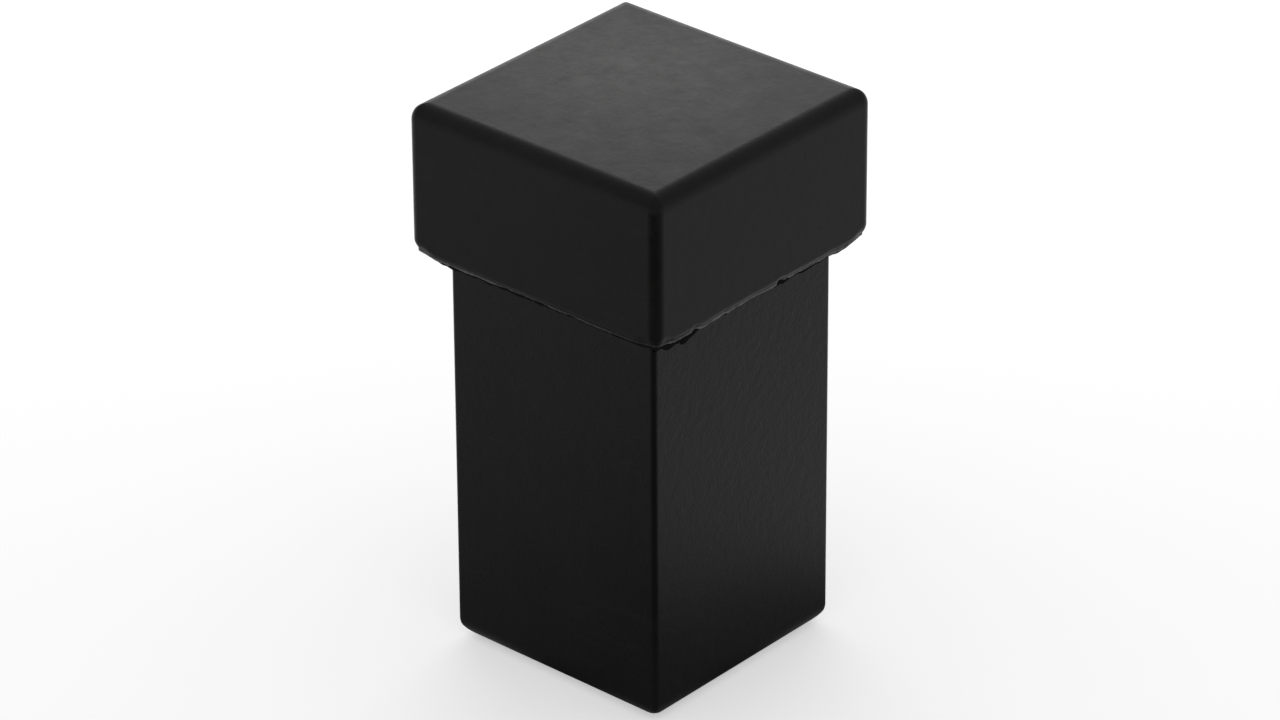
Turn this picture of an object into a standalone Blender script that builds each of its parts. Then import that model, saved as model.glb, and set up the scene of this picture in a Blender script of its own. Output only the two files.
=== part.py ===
"""Square door stop with a rubber head: a hollow die-cast body that hides its own fixing.

The boss is screwed to a floor or a wall. The body slides over it and a grub screw in the back
wall holds it there. The rubber head is moulded round a brass insert, fits over the body's top
like a cap, and is held by a screw that goes up through the body's deck.

Metres, +Z up. The origin is the centre of the base, on the surface that the stop stands on. The
back is +Y, where the grub screw is.
"""

import math

import bmesh
import bpy

MM = 0.001
GAP = 0.3 * MM  # left between two pieces that touch on the real object

# The outside, which sets everything else.
HEAD_SIDE = 30.0 * MM
HEAD_HEIGHT = 15.4 * MM
BODY_SIDE = 24.8 * MM
BODY_SHOWING = 40.9 * MM  # the height of body seen under the head
TOTAL_HEIGHT = BODY_SHOWING + HEAD_HEIGHT

# Rounded edges.
HEAD_TOP_RADIUS = 1.6 * MM
HEAD_SIDE_RADIUS = 1.3 * MM
HEAD_BOTTOM_RADIUS = 1.5 * MM
BODY_BOTTOM_RADIUS = 2.0 * MM
BODY_SIDE_RADIUS = 0.7 * MM
BODY_TOP_RADIUS = 0.5 * MM
CAVITY_RADIUS = 1.0 * MM
EDGE_SEGMENTS = 4

# The body and the head that fits over its top.
OVERLAP = 8.1 * MM  # how far the body reaches up inside the head
WALL = 3.4 * MM
DECK = 3.0 * MM
BODY_TOP = BODY_SHOWING + OVERLAP
CAVITY_SIDE = BODY_SIDE - 2 * WALL
CAVITY_TOP = BODY_TOP - DECK
SOCKET_SIDE = BODY_SIDE + 2 * GAP
SOCKET_TOP = BODY_TOP + GAP

# The boss and the pad under it.
PAD_THICKNESS = 1.0 * MM
BOSS_SIDE = CAVITY_SIDE - 2 * GAP
BOSS_BOTTOM = PAD_THICKNESS + GAP
BOSS_TOP = 12.5 * MM
BOSS_RADIUS = 1.0 * MM
BOSS_TOP_RADIUS = 0.5 * MM
FIXING_HOLE_RADIUS = 3.1 * MM
COUNTERSINK_RADIUS = 6.2 * MM
PAD_HOLE_RADIUS = 3.6 * MM

# The M5 button-head screw, its washer and the insert that it goes into.
M5_RADIUS = 2.5 * MM
M5_HEAD_RADIUS = 4.75 * MM
M5_HEAD_HEIGHT = 2.75 * MM
M5_SOCKET_FLATS = 3.0 * MM
M5_SOCKET_DEPTH = 1.5 * MM
WASHER_RADIUS = 5.0 * MM
WASHER_THICKNESS = 1.0 * MM
WASHER_BOTTOM = CAVITY_TOP - GAP - WASHER_THICKNESS
SCREW_SEAT = WASHER_BOTTOM - GAP
SCREW_LENGTH = 8.5 * MM
INSERT_RADIUS = 4.0 * MM
INSERT_FLANGE_RADIUS = 5.5 * MM
INSERT_FLANGE = 1.2 * MM
INSERT_HEIGHT = 4.8 * MM
INSERT_BORE_DEPTH = 4.0 * MM
INSERT_TOP = SOCKET_TOP + INSERT_HEIGHT

# The M4 grub screw.
M4_RADIUS = 2.0 * MM
M4_SOCKET_FLATS = 2.0 * MM
M4_SOCKET_DEPTH = 1.5 * MM
GRUB_HEIGHT = 6.5 * MM  # of its axis above the base
GRUB_LENGTH = 3.0 * MM
GRUB_CHAMFER = 0.4 * MM
GRUB_TIP = BOSS_SIDE / 2 + GAP

ROUND_STEPS = 32
OVERSHOOT = 1.0 * MM  # how far a cutter runs past the face it opens
CHAMFER = 0.3 * MM


def clear_scene():
    for obj in list(bpy.data.objects):
        bpy.data.objects.remove(obj, do_unlink=True)


def new_collection(name, hidden=False):
    collection = bpy.data.collections.new(name)
    bpy.context.scene.collection.children.link(collection)
    collection.hide_render = hidden
    return collection


def new_material(name, colour, roughness, metallic=0.0):
    material = bpy.data.materials.new(name)
    material.use_nodes = True
    shader = material.node_tree.nodes["Principled BSDF"]
    shader.inputs["Base Color"].default_value = (*colour, 1.0)
    shader.inputs["Roughness"].default_value = roughness
    shader.inputs["Metallic"].default_value = metallic
    material.diffuse_color = (*colour, 1.0)
    return material


def link_mesh(name, bm, collection):
    mesh = bpy.data.meshes.new(name)
    bm.to_mesh(mesh)
    bm.free()
    obj = bpy.data.objects.new(name, mesh)
    collection.objects.link(obj)
    return obj


def rounded_box(name, collection, side, bottom, top, radii=(0.0, 0.0, 0.0)):
    """A square prism on the Z axis. radii are those of its bottom, upright and top edges."""
    bm = bmesh.new()
    bmesh.ops.create_cube(bm, size=1.0)
    bmesh.ops.scale(bm, vec=(side, side, top - bottom), verts=bm.verts)
    bmesh.ops.translate(bm, vec=(0.0, 0.0, (top - bottom) / 2), verts=bm.verts)
    widest = max(radii)
    if widest:
        weight = bm.edges.layers.float.new("bevel_weight_edge")
        for edge in bm.edges:
            low, high = sorted(vert.co.z for vert in edge.verts)
            if high - low > MM:
                radius = radii[1]
            else:
                radius = radii[0] if high < MM else radii[2]
            edge[weight] = radius / widest
    obj = link_mesh(name, bm, collection)
    obj.location.z = bottom
    if widest:
        bevel = obj.modifiers.new("round_edges", "BEVEL")
        bevel.limit_method = "WEIGHT"
        bevel.width = widest
        bevel.segments = EDGE_SEGMENTS
        bevel.harden_normals = True
        obj.data.shade_smooth()
    return obj


def turned(name, collection, profile, ring=False):
    """The (radius, height) profile turned about Z. It runs down the outer side, top to bottom,
    and a ring's runs back up its inner side."""
    bm = bmesh.new()
    verts = [bm.verts.new((radius, 0.0, height)) for radius, height in profile]
    for first, second in zip(verts, verts[1:]):
        bm.edges.new((first, second))
    if ring:
        bm.edges.new((verts[-1], verts[0]))
    obj = link_mesh(name, bm, collection)
    screw = obj.modifiers.new("turn", "SCREW")
    screw.steps = screw.render_steps = ROUND_STEPS
    screw.use_merge_vertices = True
    screw.merge_threshold = 0.001 * MM
    screw.use_smooth_shade = True
    return obj


def cylinder(name, collection, radius, bottom, top):
    return turned(name, collection, [(0.0, top), (radius, top), (radius, bottom), (0.0, bottom)])


def hexagon(name, collection, flats, bottom, top):
    """A hexagonal prism on the Z axis, flats across."""
    bm = bmesh.new()
    corner = flats / 2 / math.cos(math.radians(30))
    bmesh.ops.create_cone(
        bm, cap_ends=True, segments=6, radius1=corner, radius2=corner, depth=top - bottom
    )
    bmesh.ops.translate(bm, vec=(0.0, 0.0, (top + bottom) / 2), verts=bm.verts)
    return link_mesh(name, bm, collection)


def cut(obj, *cutters):
    for cutter in cutters:
        cutter.hide_render = True
        cutter.display_type = "WIRE"
        boolean = obj.modifiers.new(f"cut_{cutter.name}", "BOOLEAN")
        boolean.operation = "DIFFERENCE"
        boolean.solver = "EXACT"
        boolean.object = cutter


def hang(parent, *children):
    """Parents the children where they are. The parent is unturned and has no parent itself yet."""
    for child in children:
        child.parent = parent
        child.location -= parent.location


def make_rubber_head(parts, cutters):
    head = rounded_box(
        "rubber_head", parts, HEAD_SIDE, BODY_SHOWING, TOTAL_HEIGHT,
        (HEAD_BOTTOM_RADIUS, HEAD_SIDE_RADIUS, HEAD_TOP_RADIUS),
    )
    socket = rounded_box(
        "cut_socket", cutters, SOCKET_SIDE, BODY_SHOWING - OVERSHOOT, SOCKET_TOP,
        (0.0, BODY_SIDE_RADIUS + GAP, 0.0),
    )
    barrel = INSERT_RADIUS + GAP
    flange = INSERT_FLANGE_RADIUS + GAP
    flange_bottom = INSERT_TOP - INSERT_FLANGE - GAP
    pocket = turned("cut_insert_pocket", cutters, [
        (0.0, INSERT_TOP + GAP), (flange, INSERT_TOP + GAP), (flange, flange_bottom),
        (barrel, flange_bottom), (barrel, SOCKET_TOP - OVERSHOOT), (0.0, SOCKET_TOP - OVERSHOOT),
    ])
    cut(head, socket, pocket)
    head.data.materials.append(new_material("rubber", (0.022, 0.021, 0.020), 0.62))
    return head


def make_head_insert(parts):
    bore = M5_RADIUS + GAP
    bore_top = SOCKET_TOP + INSERT_BORE_DEPTH
    insert = turned("head_insert", parts, [
        (0.0, INSERT_TOP), (INSERT_FLANGE_RADIUS, INSERT_TOP),
        (INSERT_FLANGE_RADIUS, INSERT_TOP - INSERT_FLANGE),
        (INSERT_RADIUS, INSERT_TOP - INSERT_FLANGE),
        (INSERT_RADIUS, SOCKET_TOP), (bore, SOCKET_TOP), (bore, bore_top), (0.0, bore_top),
    ])
    insert.data.materials.append(new_material("brass", (0.62, 0.44, 0.16), 0.35, 1.0))
    return insert


def make_head_screw(parts, cutters):
    """The screw stands on its head, with the driver's socket facing down."""
    dome = [
        (M5_HEAD_RADIUS * math.cos(turn), SCREW_SEAT - M5_HEAD_HEIGHT * (0.15 + 0.85 * math.sin(turn)))
        for turn in (math.radians(step * 15) for step in range(5))
    ]
    tip = SCREW_SEAT + SCREW_LENGTH
    screw = turned("head_screw", parts, [
        (0.0, tip), (M5_RADIUS - CHAMFER, tip), (M5_RADIUS, tip - CHAMFER), (M5_RADIUS, SCREW_SEAT),
        (M5_HEAD_RADIUS, SCREW_SEAT), *dome, (0.0, dome[-1][1]),
    ])
    head_bottom = dome[-1][1]
    cut(screw, hexagon(
        "cut_m5_socket", cutters, M5_SOCKET_FLATS,
        head_bottom - OVERSHOOT, head_bottom + M5_SOCKET_DEPTH,
    ))
    screw.data.materials.append(new_material("zinc_plate", (0.60, 0.60, 0.58), 0.35, 1.0))
    return screw


def make_head_washer(parts):
    top = WASHER_BOTTOM + WASHER_THICKNESS
    hole = M5_RADIUS + GAP
    washer = turned("head_washer", parts, [
        (WASHER_RADIUS, top), (WASHER_RADIUS, WASHER_BOTTOM), (hole, WASHER_BOTTOM), (hole, top),
    ], ring=True)
    washer.data.materials.append(new_material("washer_plate", (0.58, 0.58, 0.57), 0.4, 1.0))
    return washer


def make_body(parts, cutters):
    body = rounded_box(
        "body", parts, BODY_SIDE, 0.0, BODY_TOP,
        (BODY_BOTTOM_RADIUS, BODY_SIDE_RADIUS, BODY_TOP_RADIUS),
    )
    cavity = rounded_box(
        "cut_cavity", cutters, CAVITY_SIDE, -OVERSHOOT, CAVITY_TOP, (0.0, CAVITY_RADIUS, CAVITY_RADIUS)
    )
    deck_hole = cylinder(
        "cut_deck_hole", cutters, M5_RADIUS + GAP, CAVITY_TOP - OVERSHOOT, BODY_TOP + OVERSHOOT
    )
    grub_hole = cylinder(
        "cut_grub_hole", cutters, M4_RADIUS + GAP, CAVITY_SIDE / 2 - OVERSHOOT, BODY_SIDE / 2 + OVERSHOOT
    )
    point_back(grub_hole)
    cut(body, cavity, deck_hole, grub_hole)
    body.data.materials.append(new_material("black_paint", (0.020, 0.019, 0.019), 0.42))
    return body


def point_back(obj):
    """Turns a piece that was made along Z to lie along +Y, on the grub screw's axis."""
    obj.rotation_euler.x = -math.radians(90)
    obj.location.z = GRUB_HEIGHT


def make_grub_screw(parts, cutters):
    end = GRUB_TIP + GRUB_LENGTH
    screw = turned("grub_screw", parts, [
        (0.0, end), (M4_RADIUS - GRUB_CHAMFER, end), (M4_RADIUS, end - GRUB_CHAMFER),
        (M4_RADIUS, GRUB_TIP + GRUB_CHAMFER), (M4_RADIUS - GRUB_CHAMFER, GRUB_TIP), (0.0, GRUB_TIP),
    ])
    socket = hexagon(
        "cut_m4_socket", cutters, M4_SOCKET_FLATS, end - M4_SOCKET_DEPTH, end + OVERSHOOT
    )
    point_back(screw)
    point_back(socket)
    cut(screw, socket)
    screw.data.materials.append(new_material("black_oxide", (0.035, 0.034, 0.033), 0.45, 1.0))
    return screw


def make_mounting_boss(parts, cutters):
    boss = rounded_box(
        "mounting_boss", parts, BOSS_SIDE, BOSS_BOTTOM, BOSS_TOP, (0.0, BOSS_RADIUS, BOSS_TOP_RADIUS)
    )
    depth = COUNTERSINK_RADIUS - FIXING_HOLE_RADIUS  # a right-angled countersink
    hole = turned("cut_fixing_hole", cutters, [
        (0.0, BOSS_TOP + OVERSHOOT), (COUNTERSINK_RADIUS + OVERSHOOT, BOSS_TOP + OVERSHOOT),
        (FIXING_HOLE_RADIUS, BOSS_TOP - depth), (FIXING_HOLE_RADIUS, 0.0), (0.0, 0.0),
    ])
    cut(boss, hole)
    boss.data.materials.append(new_material("zinc_casting", (0.48, 0.48, 0.47), 0.5, 1.0))
    return boss


def make_base_pad(parts, cutters):
    pad = rounded_box("base_pad", parts, BOSS_SIDE, 0.0, PAD_THICKNESS, (0.0, BOSS_RADIUS, 0.0))
    hole = cylinder(
        "cut_pad_hole", cutters, PAD_HOLE_RADIUS, -OVERSHOOT, PAD_THICKNESS + OVERSHOOT
    )
    cut(pad, hole)
    pad.data.materials.append(new_material("pad_foam", (0.045, 0.045, 0.045), 0.9))
    return pad


def make_door_stop():
    parts = new_collection("door_stop")
    cutters = new_collection("cutters", hidden=True)
    boss = make_mounting_boss(parts, cutters)
    pad = make_base_pad(parts, cutters)
    body = make_body(parts, cutters)
    grub = make_grub_screw(parts, cutters)
    head_screw = make_head_screw(parts, cutters)
    washer = make_head_washer(parts)
    head = make_rubber_head(parts, cutters)
    insert = make_head_insert(parts)
    hang(head, insert)
    hang(head_screw, washer)
    hang(body, grub, head_screw, head)
    hang(boss, pad, body)


clear_scene()
make_door_stop()
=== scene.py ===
"""Looks of the square door stop: its rubber head, its powder-coated body and the fixing inside.

Every surface is a profile carried round the Z axis. A profile's points become rows, and a row is
one closed ring: its half width, corner radius, height and section (square, round or hexagonal).
The rows run from the middle of the top, down the outside and back up the inside, so that the
faces point outwards. Metres, +Z up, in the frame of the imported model.
"""

import logging
import math
from dataclasses import dataclass, field
from enum import Enum
from typing import ClassVar

import bmesh
import bpy
import numpy as np
from mathutils import Matrix, Vector


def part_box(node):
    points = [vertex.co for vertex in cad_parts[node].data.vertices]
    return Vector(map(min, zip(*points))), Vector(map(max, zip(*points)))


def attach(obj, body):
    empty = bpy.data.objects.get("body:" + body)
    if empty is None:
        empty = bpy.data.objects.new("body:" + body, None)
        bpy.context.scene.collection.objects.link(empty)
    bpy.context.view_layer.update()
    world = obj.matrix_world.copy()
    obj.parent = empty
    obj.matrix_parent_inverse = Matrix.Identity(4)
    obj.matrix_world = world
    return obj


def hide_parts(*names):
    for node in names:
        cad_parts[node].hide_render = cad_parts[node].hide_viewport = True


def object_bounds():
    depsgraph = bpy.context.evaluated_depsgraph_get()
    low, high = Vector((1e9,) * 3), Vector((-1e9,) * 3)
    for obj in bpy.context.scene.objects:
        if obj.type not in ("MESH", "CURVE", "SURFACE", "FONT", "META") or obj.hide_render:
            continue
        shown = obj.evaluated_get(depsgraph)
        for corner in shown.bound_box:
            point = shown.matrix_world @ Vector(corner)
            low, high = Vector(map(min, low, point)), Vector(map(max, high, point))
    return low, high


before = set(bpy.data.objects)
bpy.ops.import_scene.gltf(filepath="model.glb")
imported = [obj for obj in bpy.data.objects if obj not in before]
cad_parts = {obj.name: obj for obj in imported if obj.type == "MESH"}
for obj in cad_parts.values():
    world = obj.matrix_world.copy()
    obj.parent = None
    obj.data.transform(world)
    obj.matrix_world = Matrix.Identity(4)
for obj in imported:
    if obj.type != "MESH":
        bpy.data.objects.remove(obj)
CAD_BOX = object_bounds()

MM = 0.001
GAP = 0.3 * MM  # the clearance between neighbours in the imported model
LEAST_CORNER = 0.05 * MM  # the smallest corner radius of a square ring
SHARP_ANGLE = 50.0  # an edge stays sharp where its faces turn by more degrees than this

log = logging.getLogger("door_stop")


# ---- Profiles, and the surfaces that they make ----


class Section(Enum):
    """The shape of one ring of a surface."""

    SQUARE = 0
    ROUND = 1
    HEXAGON = 2


class Profile:
    """A line of (half width, height) points, drawn stretch by stretch from its first point."""

    def __init__(self, half: float, height: float) -> None:
        """Starts at a point."""
        self.points = np.array([[half, height]])

    def through(self, points: np.ndarray) -> "Profile":
        """Adds points as they are."""
        self.points = np.concatenate([self.points, points])
        return self

    def to(self, half: float, height: float, steps: int, even: bool = False) -> "Profile":
        """Goes straight to a point, through start + (end - start) * (1 - cos(pi t)) / 2.

        The points crowd towards both ends, and the rounding of an edge doesn't bleed into the
        flat beside it.

        Args:
            half: half width of the end.
            height: height of the end.
            steps: how many stretches it is cut into.
            even: True for even stretches, through start + (end - start) * t.

        Returns:
            The profile.
        """
        t = np.linspace(0, 1, steps + 1)[1:, None]
        share = t if even else (1 - np.cos(np.pi * t)) / 2
        return self.through(self.points[-1] + (np.array([half, height]) - self.points[-1]) * share)

    def bend(self, radius: float, start: float, end: float, steps: int) -> "Profile":
        """Goes round an arc, through centre + radius * (cos a, sin a).

        Args:
            radius: the arc's radius.
            start: the angle a where the profile is now, in degrees.
            end: the angle of the arc's last point, in degrees.
            steps: how many stretches it is cut into.

        Returns:
            The profile.
        """
        angle = np.radians(np.linspace(start, end, steps + 1))
        offset = radius * np.stack([np.cos(angle), np.sin(angle)], axis=1)
        return self.through(self.points[-1] + (offset[1:] - offset[0]))

    def rows(self, section: Section = Section.ROUND, side: float = 0.0, corner: float = 0.0) -> np.ndarray:
        """Makes a row of each point.

        A square ring keeps parallel to an outline: its corner radius is the outline's, less the
        difference between the half widths.

        Args:
            section: the shape of the rings.
            side: half width of the outline that square rings are parallel to.
            corner: corner radius of that outline.

        Returns:
            An array of (half width, corner radius, height, section) rows.
        """
        half, height = self.points.T
        radius = np.minimum(np.maximum(corner - (side - half), LEAST_CORNER), half)
        return np.stack([half, radius, height, np.full_like(half, section.value)], axis=1)


@dataclass(frozen=True)
class Outline:
    """The columns that all of a surface's rings share, anticlockwise from above.

    They start at the corner between +X and -Y. Each corner's arc has `turn` columns and each
    side has `straight`. `crowding`, from 0 to 1, draws a side's columns towards its two ends.
    Round rings have their columns at the angles of a square whose corners are `rounded`.
    """

    straight: int
    turn: int
    crowding: float
    rounded: float = 0.08

    @property
    def count(self) -> int:
        """How many columns there are."""
        return 4 * (self.straight + self.turn)

    def corners_and_directions(self) -> tuple[np.ndarray, np.ndarray]:
        """Where each column's arc is centred on the unit square, and which way it points.

        On an arc the centre stands at a corner of the square while the angle turns through 90
        degrees. Along a side the angle stands still while the centre goes from one corner to
        the next by t - crowding * sin(2 pi t) / (2 pi).

        Returns:
            Two arrays of (x, y): the centres and the unit directions.
        """
        quarter = np.arange(4)[:, None]
        place = np.arange(self.turn + self.straight)[None, :]
        angle = np.radians(-90 + 90 * quarter + 90 * np.minimum(place / self.turn, 1))
        along = np.maximum(place - self.turn, 0) / self.straight
        along = (along - self.crowding * np.sin(2 * np.pi * along) / (2 * np.pi))[..., None]
        corner = np.radians(-45 + 90 * np.arange(5))
        corners = math.sqrt(2) * np.stack([np.cos(corner), np.sin(corner)], axis=-1)
        centre = (1 - along) * corners[:4, None] + along * corners[1:, None]
        direction = np.stack([np.cos(angle), np.sin(angle)], axis=-1)
        return centre.reshape(-1, 2), direction.reshape(-1, 2)

    def carry(self, rows: np.ndarray) -> np.ndarray:
        """Carries a profile round: one ring for each row.

        A square ring is (half - corner) * centre + corner * direction, a round one is
        half * (cos a, sin a), and a hexagonal one lies at half / cos(angle from the middle of
        the nearest flat).

        Args:
            rows: (half width, corner radius, height, section) rows.

        Returns:
            An array of rows by columns of (x, y, z) points.
        """
        centre, direction = self.corners_and_directions()
        rounded = (1 - self.rounded) * centre + self.rounded * direction
        angle = np.arctan2(rounded[:, 1], rounded[:, 0])
        half, corner, height, section = (rows[:, n, None] for n in range(4))
        square = (half - corner)[..., None] * centre + corner[..., None] * direction
        off_flat = (angle + np.pi / 6) % (np.pi / 3) - np.pi / 6
        reach = np.where(section == Section.HEXAGON.value, half / np.cos(off_flat), half)
        turned = reach[..., None] * np.stack([np.cos(angle), np.sin(angle)], axis=-1)
        flat = np.where((section == Section.SQUARE.value)[..., None], square, turned)
        return np.concatenate([flat, np.broadcast_to(height[..., None], flat.shape[:2] + (1,))], axis=-1)


def quads_between(index: np.ndarray) -> np.ndarray:
    """Joins each row of point numbers to the next, once round, by faces of four points."""
    beside = np.roll(index, -1, axis=1)
    return np.stack([index[:-1], index[1:], beside[1:], beside[:-1]], axis=-1)


def numbered(rows: int, columns: int, first: int = 0) -> np.ndarray:
    """The point numbers of a grid of rows by columns, counted from the first."""
    return first + np.arange(rows * columns).reshape(rows, columns)


@dataclass
class Skin:
    """A closed surface before it is a mesh: its points, its faces and its painted values."""

    points: np.ndarray
    faces: list[list[int]]
    paint: dict[str, np.ndarray] = field(default_factory=dict)

    @classmethod
    def capped(cls, rings: np.ndarray) -> "Skin":
        """Closes a stack of rings whose first and last rows each shrink to one point.

        Args:
            rings: rows by columns of points.

        Returns:
            The surface.
        """
        rows, columns = rings.shape[:2]
        points = np.concatenate([rings[:1].mean(axis=1), rings[1:-1].reshape(-1, 3), rings[-1:].mean(axis=1)])
        index = numbered(rows - 2, columns, first=1)
        beside = np.roll(index, -1, axis=1)
        first = np.stack([np.zeros(columns, int), index[0], beside[0]], axis=-1)
        last = np.stack([index[-1], np.full(columns, len(points) - 1), beside[-1]], axis=-1)
        return cls(points, quads_between(index).reshape(-1, 4).tolist() + first.tolist() + last.tolist())

    @classmethod
    def looped(cls, rings: np.ndarray, without: np.ndarray | None = None) -> "Skin":
        """Closes a stack of rings whose last row joins its first, as round a hole.

        Args:
            rings: rows by columns of points.
            without: a mask of rows by columns, True where a face is left out.

        Returns:
            The surface.
        """
        index = numbered(*rings.shape[:2])
        quads = quads_between(np.concatenate([index, index[:1]]))
        kept = quads.reshape(-1, 4) if without is None else quads[~without]
        return cls(rings.reshape(-1, 3), kept.tolist())

    def as_piece(self, name: str, recalculate: bool = False) -> bpy.types.Object:
        """Makes the surface a smooth-shaded object at the origin.

        Args:
            name: the piece's name.
            recalculate: True where the faces don't all point outwards yet.

        Returns:
            The object.
        """
        mesh = bpy.data.meshes.new(name)
        mesh.from_pydata(self.points.tolist(), [], self.faces)
        for title, values in self.paint.items():
            mesh.attributes.new(title, "FLOAT", "POINT").data.foreach_set("value", values.astype(np.float32))
        mesh.validate()
        mesh.shade_smooth()
        mesh.set_sharp_from_angle(angle=math.radians(SHARP_ANGLE))
        if recalculate:
            solid = bmesh.new()
            solid.from_mesh(mesh)
            bmesh.ops.recalc_face_normals(solid, faces=solid.faces)
            solid.to_mesh(mesh)
            solid.free()
        piece = bpy.data.objects.new(name, mesh)
        bpy.context.scene.collection.objects.link(piece)
        return piece


def ragged(along: np.ndarray, length: float, seed: int, longest: float, shortest: float) -> np.ndarray:
    """An irregular closed line, from -1 to 1: sines that fit a whole number of times round.

    Each is as high as one over the root of that number, with a phase drawn from the seed.

    Args:
        along: distances along the line.
        length: the line's whole length.
        seed: which line this is.
        longest: the longest wavelength.
        shortest: the shortest.

    Returns:
        The line's value at each distance.
    """
    times = np.arange(max(1, round(length / longest)), round(length / shortest) + 1)[:, None]
    phase = np.random.default_rng(seed).uniform(0, 2 * np.pi, times.shape)
    total = (np.sin(2 * np.pi * times * along / length + phase) / np.sqrt(times)).sum(axis=0)
    return total / np.abs(total).max()


def hump(away: np.ndarray, width: float | np.ndarray) -> np.ndarray:
    """A smooth hump of height 1, from 0 at -width to 0 at +width: cos squared of the distance."""
    return np.cos(np.pi / 2 * np.clip(away / width, -1, 1)) ** 2


def smooth(share: np.ndarray) -> np.ndarray:
    """The step 3 t^2 - 2 t^3, with t held between 0 and 1."""
    held = np.clip(share, 0, 1)
    return held * held * (3 - 2 * held)


def carved(rings: np.ndarray, depth: np.ndarray, fade: float) -> np.ndarray:
    """Moves the points of round rings towards the axis.

    Args:
        rings: rows by columns of points.
        depth: how far each point moves.
        fade: the length over which that dies away at each end of the stack.

    Returns:
        The carved rings.
    """
    x, y, z = np.moveaxis(rings, -1, 0)
    share = np.clip(np.minimum(z - z.min(), z.max() - z) / fade, 0, 1)
    scale = 1 - depth * share / np.hypot(x, y)
    return np.stack([x * scale, y * scale, z], axis=-1)


@dataclass(frozen=True)
class Thread:
    """A right-hand thread cut into a round surface."""

    pitch: float
    depth: float
    fade: float = 0.5 * MM
    crest: float = 0.12  # the share of half a pitch that stays flat at the crest
    flank: float = 0.72  # and the share that a flank takes

    def cut(self, rings: np.ndarray, inside: bool = False) -> np.ndarray:
        """Cuts the thread into round rings.

        The groove's depth follows a triangle wave of height / pitch - angle / 360, clipped to
        leave narrow flats at crest and root.

        Args:
            rings: rows by columns of points.
            inside: True for a thread in a hole, whose grooves go outwards.

        Returns:
            The threaded rings.
        """
        x, y, z = np.moveaxis(rings, -1, 0)
        turn = (z / self.pitch - np.arctan2(y, x) / (2 * np.pi)) % 1.0
        groove = np.clip((1 - np.abs(2 * turn - 1) - self.crest) / self.flank, 0, 1)
        return carved(rings, groove * (-self.depth if inside else self.depth), self.fade)


# ---- Finishes ----

Colour = tuple[float, float, float]
Socket = bpy.types.NodeSocket
Surface = tuple[Socket, Socket, Socket]  # a colour, a roughness and a height
Waves = tuple[int, float, float]  # a line's seed, its longest and its shortest wave in millimetres


class NodeSheet:
    """A node tree with short ways to add and join nodes."""

    def __init__(self, tree: bpy.types.NodeTree) -> None:
        """Works on a tree."""
        self.tree = tree

    def add(self, kind: str, inputs: dict | None = None, **settings: object) -> bpy.types.Node:
        """Adds a shader node of one kind, sets its properties and feeds its inputs."""
        node = self.tree.nodes.new("ShaderNode" + kind)
        for name, value in settings.items():
            setattr(node, name, value)
        for name, source in (inputs or {}).items():
            self.feed(source, node.inputs[name])
        return node

    def feed(self, source: object, target: Socket) -> None:
        """Links a socket to an input, or sets the input to a number or a colour."""
        if isinstance(source, Socket):
            self.tree.links.new(source, target)
        else:
            target.default_value = (*source, 1.0) if target.type == "RGBA" else source

    def noise(self, place: Socket, scale: Socket, detail: float) -> Socket:
        """A noise texture's value, with so many octaves of detail."""
        return self.add("TexNoise", {"Vector": place, "Scale": scale, "Detail": detail}).outputs["Fac"]

    def painted(self, name: str, output: str = "Fac") -> Socket:
        """A value that is painted on the mesh's points."""
        return self.add("Attribute", attribute_name=name).outputs[output]

    def sum_of(self, operation: str, *values: Socket | float, clamp: bool = False) -> Socket:
        """The result of one of the Math node's operations."""
        return self.add("Math", dict(enumerate(values)), operation=operation, use_clamp=clamp).outputs[0]

    def between(self, value: Socket, low: float, high: float, start: float, end: float) -> Socket:
        """A value that runs from low to high, mapped onto start to end and held at both ends."""
        ends = {"From Min": low, "From Max": high, "To Min": start, "To Max": end}
        return self.add("MapRange", {"Value": value, **ends}).outputs["Result"]

    def blend(self, share: Socket, first: Socket | Colour, second: Socket | Colour) -> Socket:
        """A mix of two colours."""
        node = self.add("Mix", {"Factor": share}, data_type="RGBA")
        colours = (socket for socket in node.inputs if socket.type == "RGBA")
        for value, socket in zip((first, second), colours):
            self.feed(value, socket)
        return next(socket for socket in node.outputs if socket.type == "RGBA")


class Effect(Enum):
    """The shared node groups, by the name that each has in the file."""

    CLOUDS = "clouds"
    GRAIN = "grain"
    STREAKS = "streaks"


def effect_group(effect: Effect) -> bpy.types.NodeTree:
    """The shared node group of an effect, made the first time that it is asked for."""
    makers = {Effect.CLOUDS: clouds_group, Effect.GRAIN: grain_group, Effect.STREAKS: streaks_group}
    return bpy.data.node_groups.get(effect.value) or makers[effect]()


def new_group(
    effect: Effect, output: str, **inputs: float
) -> tuple[NodeSheet, bpy.types.Node, bpy.types.Node]:
    """Starts a shader node group that reads a place and gives one value.

    Args:
        effect: whose group it is.
        output: the value's name.
        inputs: its number inputs and their starting values.

    Returns:
        The group's sheet, its input node and its output node.
    """
    tree = bpy.data.node_groups.new(effect.value, "ShaderNodeTree")
    tree.interface.new_socket("Place", in_out="INPUT", socket_type="NodeSocketVector")
    for title, value in inputs.items():
        tree.interface.new_socket(title, in_out="INPUT", socket_type="NodeSocketFloat").default_value = value
    tree.interface.new_socket(output, in_out="OUTPUT", socket_type="NodeSocketFloat")
    return NodeSheet(tree), tree.nodes.new("NodeGroupInput"), tree.nodes.new("NodeGroupOutput")


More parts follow.
